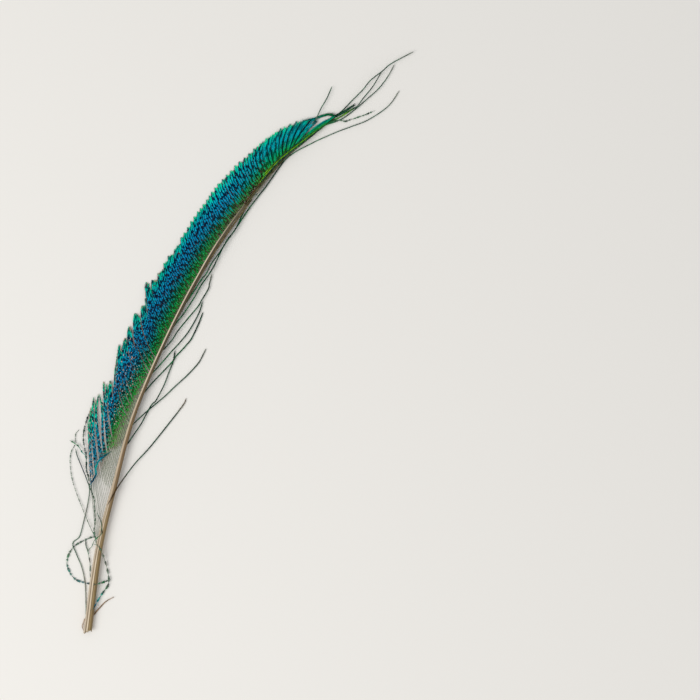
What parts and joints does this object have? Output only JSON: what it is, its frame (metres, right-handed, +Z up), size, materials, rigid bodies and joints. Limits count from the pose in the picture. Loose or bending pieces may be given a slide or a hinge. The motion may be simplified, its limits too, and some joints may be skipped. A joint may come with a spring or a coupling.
{
  "type": "peacock feather",
  "caption": "Curved peacock sword feather with a one-sided vane of green, blue and teal barbs, a bare quill and loose herls, lying flat with its glossy side up.",
  "frame": {"origin": "under the middle of the feather, on the surface that it lies on", "axes": "+Y from the quill's cut end towards the tip, +X to the right seen from above, +Z up on the glossy side"},
  "size_m": [0.0633, 0.3331, 0.0045],
  "materials": {
    "feather_barbs": "fine satin streaks, green by the shaft, deep blue in the middle and teal at the edge",
    "shaft_horn": "smooth horn, cream on its left facet and tan on its right",
    "loose_herls": "dark grey-green strands with short bright teal barbules"
  },
  "bodies": {
    "root": {"feather": "feather_barbs"}
  },
  "joints": []
}
